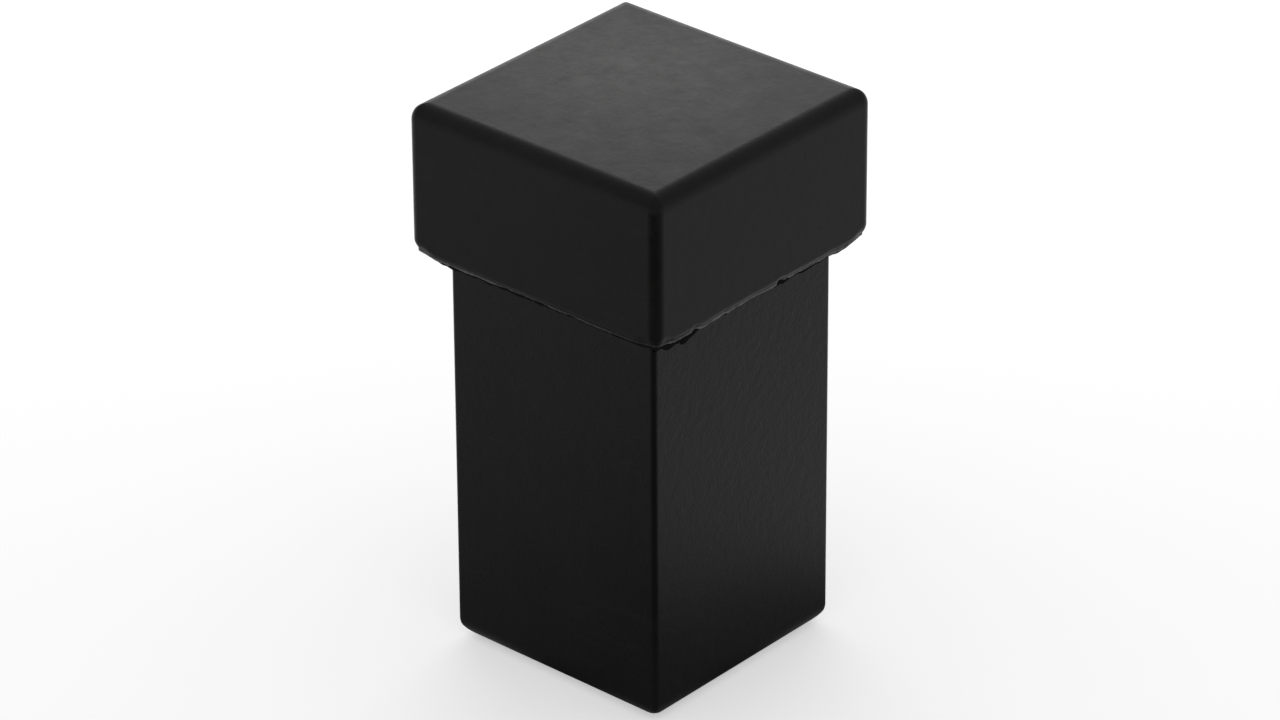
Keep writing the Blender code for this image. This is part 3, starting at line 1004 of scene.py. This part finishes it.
@dataclass
class Body(Maker):
    """The hollow die-cast body, with a deck across its top and a grub hole in its back wall."""

    role: ClassVar[Role] = Role(POWDER_COAT, "housing", "body", "black_paint")
    top_radius: float = 0.5 * MM
    side_radius: float = 0.5 * MM
    bottom_radius: float = 2.0 * MM
    foot_corner: float = 1.0 * MM  # how round the corners are at the very bottom
    wall: float = 3.4 * MM
    deck: float = 3.0 * MM
    cavity_corner: float = 1.0 * MM
    inner_edge: float = 0.35 * MM
    deck_hole: float = 2.8 * MM
    square_from: float = 6 * MM  # how far in from the side the deck's square rings start
    square_to: float = 1.5 * MM  # and how far from the hole they end, on its underside
    grub_hole: float = 2.3 * MM
    grub_chamfer: float = 0.3 * MM
    patch: float = 3.6 * MM  # half height of the patch of wall that holds the grub hole
    patch_rows: int = 12
    patch_columns: int = 9  # half of its columns
    outline: Outline = Outline(straight=48, turn=8, crowding=0.75)

    def build(self) -> bpy.types.Object:
        """Builds the body down its outside, up its cavity and through the hole in its deck.

        Returns:
            The piece.
        """
        low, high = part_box("body")
        half, top, bottom = high.x, high.z, low.z
        axis = sum(corner.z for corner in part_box("grub_screw")) / 2
        cavity, ceiling = half - self.wall, top - self.deck
        r_top, r_bottom, edge, r_in = self.top_radius, self.bottom_radius, self.inner_edge, self.cavity_corner
        patch_top, patch_bottom, bore = axis + self.patch, axis - self.patch, self.deck_hole
        deck = Profile(bore + 2 * edge, top).rows()
        shell = Profile(half - self.square_from, top).to(half - r_top, top, 6).bend(r_top, 90, 0, 6)
        shell.to(half, patch_top, 16)
        outer = len(shell.points)
        shell.to(half, patch_bottom, self.patch_rows, even=True)
        shell.to(half, bottom + r_bottom, 3).bend(r_bottom, 0, -90, 14)
        lining = Profile(half - r_bottom, bottom).to(cavity + edge, bottom, 4).bend(edge, -90, -180, 4)
        lining.to(cavity, patch_bottom, 3)
        inner = len(shell.points) + len(lining.points) - 1
        lining.to(cavity, patch_top, self.patch_rows, even=True)
        lining.to(cavity, ceiling - r_in, 12).bend(r_in, 0, 90, 6).to(bore + self.square_to, ceiling, 4)
        hole = Profile(bore + edge, ceiling).bend(edge, -90, -180, 4).to(bore, top - edge, 5)
        hole.bend(edge, 180, 90, 4)
        outside = shell.rows(Section.SQUARE, half, self.side_radius)
        rounding = smooth((bottom + r_bottom - outside[:, 2]) / r_bottom)
        outside[:, 1] = np.maximum(outside[:, 1], self.foot_corner * rounding)
        inside = lining.rows(Section.SQUARE, cavity, r_in)[1:]
        rings = self.outline.carry(np.concatenate([deck, outside, inside, hole.rows()]))
        return self.pierced(rings, outer, inner, axis).as_piece("body_casting", recalculate=True)

    def pierced(self, rings: np.ndarray, outer: int, inner: int, axis: float) -> Skin:
        """Opens the grub hole through the back wall.

        A patch of faces is left out of both sides of the wall. From its border the surface runs
        to a circle, each border point going to the place on the circle that lies in its own
        direction from the hole's axis, and a tunnel joins the two circles.

        Args:
            rings: the body's rings.
            outer: the outer patch's first row.
            inner: the inner patch's first row.
            axis: the height of the hole's axis.

        Returns:
            The body's surface.
        """
        middle = 2 * self.outline.turn + self.outline.straight + self.outline.straight // 2
        columns = np.arange(middle - self.patch_columns, middle + self.patch_columns + 1)
        without = np.zeros(rings.shape[:2], bool)
        for first in (outer, inner):
            without[first : first + self.patch_rows, columns[0] : columns[-1]] = True
        skin = Skin.looped(rings, without)
        down = np.arange(self.patch_rows + 1)
        borders = [self.border(rows, columns) for rows in (outer + down, inner + down[::-1])]
        start, end = (skin.points[border] for border in borders)
        half, cavity, hole, chamfer = start[0, 1], end[0, 1], self.grub_hole, self.grub_chamfer
        radius = hole + chamfer * np.array([2, 1, 0, 0, 0, 1])[:, None]
        depths = [half, half, half - chamfer, (half + cavity) / 2, cavity + chamfer, cavity]
        turn = np.arctan2(start[:, 2] - axis, start[:, 0])
        depth = np.broadcast_to(np.array(depths)[:, None], (len(depths), len(turn)))
        circles = np.stack([radius * np.cos(turn), depth, axis + radius * np.sin(turn)], axis=-1)
        index = numbered(*circles.shape[:2], first=len(skin.points))
        chain = np.concatenate([borders[0][None], index, borders[1][None]])
        skin.points = np.concatenate([skin.points, circles.reshape(-1, 3)])
        skin.faces += quads_between(chain).reshape(-1, 4).tolist()
        return skin

    def border(self, rows: np.ndarray, columns: np.ndarray) -> np.ndarray:
        """The numbers of the points round the edge of a patch of the grid, once round."""
        start = rows * self.outline.count
        lines = [
            start[0] + columns[:-1],
            start[:-1] + columns[-1],
            start[-1] + columns[:0:-1],
            start[:0:-1] + columns[0],
        ]
        return np.concatenate(lines)


# ---- Screws and washer ----


@dataclass(frozen=True)
class HexSocket:
    """A hexagonal socket that opens downwards, with the shallow cone that its drill leaves."""

    flats: float
    depth: float
    edge: float
    steps: int
    cone_foot: float
    cone_tip: float
    cone_width: float = 0.8  # its share of the flats

    @property
    def reach(self) -> float:
        """The distance from its axis to a corner of the hexagon."""
        return self.flats / 2 / math.cos(math.radians(30))

    def rings(self, outline: Outline, mouth: float) -> list[np.ndarray]:
        """The rings of its walls and of its cone, from the height of its mouth upwards."""
        across, roof = self.flats / 2, mouth + self.depth
        wall = Profile(across + self.edge, mouth).to(across, mouth + self.edge, 1)
        wall.to(across, roof, self.steps)
        cone = Profile(across * self.cone_width, roof + self.cone_foot)
        cone.to(0.0, roof + self.cone_tip, self.steps - 1)
        return [outline.carry(wall.rows(Section.HEXAGON)), outline.carry(cone.rows())]


@dataclass
class HeadScrew(Maker):
    """The M5 button-head screw, point up, with its hexagonal socket facing down."""

    role: ClassVar[Role] = Role(ZINC_PLATE, "head_fixing", "head_screw", "plated_steel")
    shank_radius: float = 2.5 * MM
    chamfer: float = 0.3 * MM
    edge: float = 0.12 * MM
    plain: float = 0.7 * MM  # unthreaded length under the head
    dome_turn: float = 60.0  # how many degrees of an ellipse the dome takes
    dome_share: float = 0.88  # its share of the head's height
    socket: HexSocket = HexSocket(3.0 * MM, 1.5 * MM, 0.12 * MM, 4, 0.1 * MM, 0.4 * MM)
    thread: Thread = Thread(pitch=0.8 * MM, depth=0.42 * MM)
    outline: Outline = Outline(straight=12, turn=3, crowding=0.0)

    def build(self) -> bpy.types.Object:
        """Builds the screw from its point down to its domed head and up its socket.

        Returns:
            The piece.
        """
        low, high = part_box("head_screw")
        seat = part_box("head_washer")[0].z - GAP
        radius, rim, tip, bottom, edge = self.shank_radius, high.x, high.z, low.z, self.edge
        carry, drop = self.outline.carry, seat - bottom
        point = Profile(0.0, tip).to(radius - self.chamfer, tip, 3).to(radius, tip - self.chamfer, 2)
        shank = Profile(radius, tip - self.chamfer).to(radius, seat + self.plain, 89, even=True)
        turn = np.radians(np.linspace(0, self.dome_turn, 13))
        fall = drop * (1 - self.dome_share + self.dome_share * np.sin(turn) / np.sin(turn[-1]))
        head = Profile(radius, seat + self.plain).to(radius, seat + edge, 2).bend(edge, 180, 270, 3)
        head.to(rim - edge, seat, 3).through(np.stack([rim * np.cos(turn), seat - fall], axis=1))
        head.to(self.socket.reach + edge, bottom, 3)
        rings = [carry(point.rows()[:-1]), self.thread.cut(carry(shank.rows())), carry(head.rows()[1:])]
        rings += self.socket.rings(self.outline, bottom)
        return Skin.capped(np.concatenate(rings)).as_piece("head_screw_m5")


@dataclass
class HeadWasher(Maker):
    """The plain washer: one side rounded by the punch, the other with a sharp rim."""

    role: ClassVar[Role] = Role(ZINC_PLATE, "head_fixing", "head_washer", "plated_steel")
    hole_radius: float = 2.8 * MM
    soft_edge: float = 0.28 * MM
    sharp_edge: float = 0.06 * MM
    outline: Outline = Outline(straight=12, turn=4, crowding=0.0)

    def build(self) -> bpy.types.Object:
        """Builds the washer, its sharp side up.

        Returns:
            The piece.
        """
        low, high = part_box("head_washer")
        rim, hole, soft, sharp = high.x, self.hole_radius, self.soft_edge, self.sharp_edge
        ring = Profile(hole + sharp, high.z).to(rim - sharp, high.z, 5).bend(sharp, 90, 0, 2)
        ring.to(rim, low.z + soft, 1).bend(soft, 0, -90, 5).to(hole + soft, low.z, 5)
        ring.bend(soft, -90, -180, 5).to(hole, high.z - sharp, 1).bend(sharp, 180, 90, 2)
        return Skin.looped(self.outline.carry(ring.rows()[:-1])).as_piece("head_washer_m5")


@dataclass
class GrubScrew(Maker):
    """The M4 grub screw: cup point inwards, hexagonal socket in its outer end."""

    role: ClassVar[Role] = Role(BLACK_OXIDE, "grub", "grub_screw", "black_steel")
    chamfer: float = 0.35 * MM
    cup_radius: float = 1.0 * MM
    cup_depth: float = 0.45 * MM
    lip: float = 0.1 * MM  # the flat round the socket's corners
    socket: HexSocket = HexSocket(2.0 * MM, 1.5 * MM, 0.06 * MM, 3, 0.05 * MM, 0.25 * MM)
    thread: Thread = Thread(pitch=0.7 * MM, depth=0.34 * MM, fade=0.35 * MM)
    outline: Outline = Outline(straight=12, turn=3, crowding=0.0)

    def build(self) -> bpy.types.Object:
        """Builds the screw along Z and lays it along the axis of its hole.

        Its outer end is the profile's last row, so it is made upside down and (x, y, z) goes to
        (x, -z, axis + y).

        Returns:
            The piece.
        """
        low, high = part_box("grub_screw")
        radius, chamfer, carry = (high.x - low.x) / 2, self.chamfer, self.outline.carry
        near, far = -low.y, -high.y
        cup = Profile(0.0, near - self.cup_depth).to(self.cup_radius, near, 3).to(radius - chamfer, near, 1)
        cup.to(radius, near - chamfer, 2)
        shank = Profile(radius, near - chamfer).to(radius, far + chamfer, 39, even=True)
        rim = Profile(radius, far + chamfer).to(radius - chamfer, far, 2)
        rim.to(self.socket.reach + self.lip, far, 2)
        rings = [carry(cup.rows()[:-1]), self.thread.cut(carry(shank.rows())), carry(rim.rows()[1:])]
        rings += self.socket.rings(self.outline, far)
        skin = Skin.capped(np.concatenate(rings))
        x, y, z = skin.points.T
        skin.points = np.stack([x, -z, (low.z + high.z) / 2 + y], axis=1)
        return skin.as_piece("grub_screw_m4", recalculate=True)


# ---- The base ----


@dataclass
class MountingBoss(Maker):
    """The cast boss that the body slides over, with a countersunk hole for its fixing screw."""

    role: ClassVar[Role] = Role(CAST_METAL, "base", "mounting_boss", "cast_metal")
    corner: float = 1.0 * MM
    top_radius: float = 0.5 * MM
    foot_radius: float = 0.2 * MM
    hole_radius: float = 3.1 * MM
    countersink_radius: float = 6.2 * MM
    edge: float = 0.15 * MM
    square_ends: tuple[float, float] = (1.4 * MM, 2 * MM)  # how far in its top and its foot are square
    round_from: float = 1 * MM  # how far from the hole the foot is round
    outline: Outline = Outline(straight=36, turn=8, crowding=0.6)

    def build(self) -> bpy.types.Object:
        """Builds the boss down its outside and up its hole, whose countersink is right-angled.

        Returns:
            The piece.
        """
        low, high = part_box("mounting_boss")
        half, top, bottom = high.x, high.z, low.z
        r_top, foot, edge, hole, sink = (
            self.top_radius, self.foot_radius, self.edge, self.hole_radius, self.countersink_radius
        )
        shell = Profile(half - self.square_ends[0], top).to(half - r_top, top, 2).bend(r_top, 90, 0, 6)
        shell.to(half, bottom + foot, 10).bend(foot, 0, -90, 3).to(half - self.square_ends[1], bottom, 3)
        bore = Profile(hole + self.round_from, bottom).to(hole + edge, bottom, 2).bend(edge, -90, -180, 3)
        bore.to(hole, top - sink + hole, 6).to(sink - edge, top - edge, 6).to(sink + edge, top, 1)
        rows = np.concatenate([shell.rows(Section.SQUARE, half, self.corner), bore.rows()])
        return Skin.looped(self.outline.carry(rows)).as_piece("mounting_boss_casting")


@dataclass
class BasePad(Maker):
    """The thin foam pad under the boss: cut square, its cut sides a little hollow."""

    role: ClassVar[Role] = Role(PAD_FOAM, "base", "base_pad", "pad_rubber")
    corner: float = 1.0 * MM
    hole_radius: float = 3.6 * MM
    edge: float = 0.08 * MM
    waist: float = 0.07 * MM
    square_from: float = 3 * MM  # how far in from its sides it is square
    round_from: float = 0.8 * MM  # and how far from the hole it is round
    outline: Outline = Outline(straight=30, turn=6, crowding=0.4)

    def build(self) -> bpy.types.Object:
        """Builds the pad, whose sides sink in by waist * sin(pi t) from edge to edge.

        Returns:
            The piece.
        """
        low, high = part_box("base_pad")
        half, top, bottom, edge, hole = high.x, high.z, low.z, self.edge, self.hole_radius
        share = np.linspace(0, 1, 9)[1:]
        bow, fall = self.waist * np.sin(np.pi * share), (top - bottom - 2 * edge) * share
        side = Profile(half - self.square_from, top).to(half - edge, top, 4).bend(edge, 90, 0, 2)
        side.through(np.stack([half - bow, top - edge - fall], axis=1))
        side.bend(edge, 0, -90, 2).to(half - self.square_from, bottom, 4)
        bore = Profile(hole + self.round_from, bottom).to(hole + edge, bottom, 2).bend(edge, -90, -180, 2)
        bore.through(np.stack([hole + bow, bottom + edge + fall], axis=1))
        bore.bend(edge, 180, 90, 2).to(hole + self.round_from, top, 2)
        rows = np.concatenate([side.rows(Section.SQUARE, half, self.corner), bore.rows()])
        return Skin.looped(self.outline.carry(rows)).as_piece("base_pad_foam")


# ---- The studio ----


def sight(azimuth: float, elevation: float) -> Vector:
    """The direction towards what is seen at an azimuth from -Y and an elevation, in degrees."""
    around, above = math.radians(azimuth), math.radians(elevation)
    return Vector((math.sin(around) * math.cos(above), -math.cos(around) * math.cos(above), math.sin(above)))


def staged(name: str, points: np.ndarray, faces: np.ndarray, colour: Colour) -> bpy.types.Object:
    """Adds a sheet that isn't part of the object, in a plain material without any gloss.

    Args:
        name: the name of the sheet and of its material.
        points: its points.
        faces: its faces, as rows of four point numbers.
        colour: its colour.

    Returns:
        The sheet's object.
    """
    mesh = bpy.data.meshes.new(name)
    mesh.from_pydata(points.tolist(), [], faces.tolist())
    material = bpy.data.materials.new(name)
    material.use_nodes = True
    shader = material.node_tree.nodes["Principled BSDF"].inputs
    shader["Base Color"].default_value = (*colour, 1.0)
    shader["Roughness"].default_value = 0.9
    shader["Specular IOR Level"].default_value = 0.0
    shader["Emission Color"].default_value = (1.0, 1.0, 1.0, 1.0)
    mesh.materials.append(material)
    sheet = bpy.data.objects.new(name, mesh)
    bpy.context.scene.collection.objects.link(sheet)
    return sheet


@dataclass(frozen=True)
class SoftLight:
    """A wide soft light that looks at the object. Its radiance is how bright its face is."""

    name: str
    azimuth: float
    elevation: float
    distance: float
    width: float
    height: float
    radiance: float

    def place(self, target: Vector) -> None:
        """Adds the light, aimed at a point."""
        lamp = bpy.data.lights.new(self.name, "AREA")
        lamp.shape = "RECTANGLE"
        lamp.size, lamp.size_y = self.width, self.height
        lamp.energy = self.radiance * math.pi * self.width * self.height
        holder = bpy.data.objects.new(self.name, lamp)
        back = sight(self.azimuth, self.elevation)
        holder.location = target + back * self.distance
        holder.rotation_euler = back.to_track_quat("Z", "Y").to_euler()
        holder.visible_camera = False
        bpy.context.scene.collection.objects.link(holder)


@dataclass(frozen=True)
class PaintedReflectionCard:
    """A card on the floor, which only reflections see, with light and shade painted on it.

    Its painted glow is the floor as the object reflects it: a painted shadow, dark towards the front
    edge and round the object's foot, and elsewhere a glow nearly as pale as the floor.
    """

    reach: float = 0.35
    foot: float = 0.0124
    contact: float = 0.005  # the width of the painted contact shadow, a dark ring where the object meets the floor
    level: float = 0.0055  # how far the foot value holds
    far: float = 0.110
    drop: float = 0.01 * MM
    rings: int = 60
    spokes: int = 144
    # an azimuth as `sight` has it, the near distance there, and the painted glow at foot, near and far
    table: tuple[tuple[float, ...], ...] = (
        (-180.0, 0.042, 0.28, 1.00, 1.10),
        (-139.0, 0.045, 0.30, 1.30, 1.50),
        (-85.0, 0.050, 0.28, 0.95, 1.15),
        (-60.0, 0.058, 0.25, 0.40, 0.62),
        (-41.0, 0.058, 0.23, 0.40, 0.62),
        (-15.0, 0.058, 0.20, 0.34, 0.54),
        (5.0, 0.045, 0.15, 0.08, 0.08),
        (41.0, 0.042, 0.13, 0.02, 0.02),
        (75.0, 0.042, 0.15, 0.05, 0.05),
        (100.0, 0.038, 0.19, 0.55, 0.50),
        (139.0, 0.037, 0.20, 0.74, 0.63),
        (180.0, 0.042, 0.28, 1.00, 1.10),
    )

    def place(self) -> None:
        """Adds the card: rings round the object's foot, each point glowing by its place.

        At each azimuth the glow goes from its foot value to its near and then its far value,
        each time by 3 t^2 - 2 t^3, and it fades to black across the contact ring, a painted contact
        shadow.
        """
        azimuth = np.linspace(-180, 180, self.spokes + 1)[:-1]
        azimuths, *columns = zip(*self.table)
        near, foot_glow, near_glow, far_glow = (np.interp(azimuth, azimuths, column) for column in columns)
        radius = (np.linspace(math.sqrt(self.foot / 2), math.sqrt(self.reach), self.rings) ** 2)[:, None]
        first = smooth((radius - self.foot - self.level) / (near - self.foot - self.level))
        second = smooth((radius - near) / (self.far - near))
        glow = foot_glow + (near_glow - foot_glow) * first + (far_glow - near_glow) * second
        glow = glow * smooth((radius - self.foot + self.contact / 3) / self.contact)
        around = np.radians(azimuth)
        points = [radius * np.sin(around), -radius * np.cos(around), np.full_like(glow, -self.drop)]
        faces = quads_between(numbered(*glow.shape)).reshape(-1, 4)
        card = staged("painted_reflection_card", np.stack(points, axis=-1).reshape(-1, 3), faces, (0.0, 0.0, 0.0))
        values = card.data.attributes.new("glow", "FLOAT", "POINT").data
        values.foreach_set("value", glow.ravel().astype(np.float32))
        sheet = NodeSheet(card.data.materials[0].node_tree)
        shader = sheet.tree.nodes["Principled BSDF"].inputs
        shader["Emission Strength"].default_value = 1.0
        sheet.feed(sheet.painted("glow", "Color"), shader["Emission Color"])
        # only reflections see the card and the light and shade painted on it
        card.visible_camera = card.visible_diffuse = card.visible_shadow = False


@dataclass
class Studio:
    """A pale floor, soft light from low behind and a long lens from above the front corner."""

    lens: float = 183.7
    sensor: float = 36.0
    distance: float = 0.6053
    azimuth: float = 41.363
    elevation: float = 28.835
    roll: float = -0.342
    slide_right: float = -0.140 * MM
    slide_up: float = 0.671 * MM
    floor_size: float = 8.0
    floor_drop: float = 0.02 * MM
    floor_colour: Colour = (0.88, 0.88, 0.88)
    floor_glow: float = 0.45
    sky: float = 0.52
    card: PaintedReflectionCard = PaintedReflectionCard()
    light: SoftLight = SoftLight(
        "back_window", azimuth=221.0, elevation=22.0, distance=0.30, width=0.34, height=0.17, radiance=1.28
    )

    def build(self) -> None:
        """Sets up the camera, the floor, the card of painted reflections, the sky and the light."""
        middle = Vector((0.0, 0.0, CAD_BOX[1][2] / 2))
        self.add_camera(middle)
        self.add_floor()
        self.card.place()
        world = bpy.data.worlds.new("sky")
        world.use_nodes = True
        background = world.node_tree.nodes["Background"].inputs["Color"]
        background.default_value = (self.sky, self.sky, self.sky, 1.0)
        bpy.context.scene.world = world
        self.light.place(middle)
        bpy.context.scene.view_settings.view_transform = "Standard"

    def add_camera(self, middle: Vector) -> None:
        """Adds the camera, looking at the middle of the object and rolled about its own axis."""
        camera = bpy.data.cameras.new("camera")
        camera.lens = self.lens
        camera.sensor_width = self.sensor
        camera.clip_start = 0.01
        holder = bpy.data.objects.new("camera", camera)
        back = sight(self.azimuth, self.elevation)
        around = math.radians(self.azimuth)
        level = Vector((math.cos(around), math.sin(around), 0.0))
        upright = back.cross(level)
        tilt = math.radians(self.roll)
        right = level * math.cos(tilt) + upright * math.sin(tilt)
        up = upright * math.cos(tilt) - level * math.sin(tilt)
        place = middle + back * self.distance + level * self.slide_right + upright * self.slide_up
        holder.matrix_world = Matrix.Translation(place) @ Matrix((right, up, back)).transposed().to_4x4()
        bpy.context.scene.collection.objects.link(holder)
        bpy.context.scene.camera = holder

    def add_floor(self) -> None:
        """Adds the floor: a plain pale sheet that also glows a little, as a light table does."""
        corners = np.array([(-1, -1), (1, -1), (1, 1), (-1, 1)]) * self.floor_size / 2
        points = np.column_stack([corners, np.full(4, -self.floor_drop)])
        floor = staged("floor", points, np.array([[0, 1, 2, 3]]), self.floor_colour)
        shader = floor.data.materials[0].node_tree.nodes["Principled BSDF"].inputs
        shader["Emission Strength"].default_value = self.floor_glow


def main() -> None:
    """Builds and dresses every piece, in order."""
    logging.basicConfig(level=logging.INFO, format="%(name)s: %(message)s")
    Studio().build()
    pieces = (RubberHead, Body, HeadInsert, HeadScrew, HeadWasher, GrubScrew, MountingBoss, BasePad)
    for maker in (piece() for piece in pieces):
        maker.dress(maker.build())
    log.info("all pieces are in place")


if __name__ == "__main__":
    main()
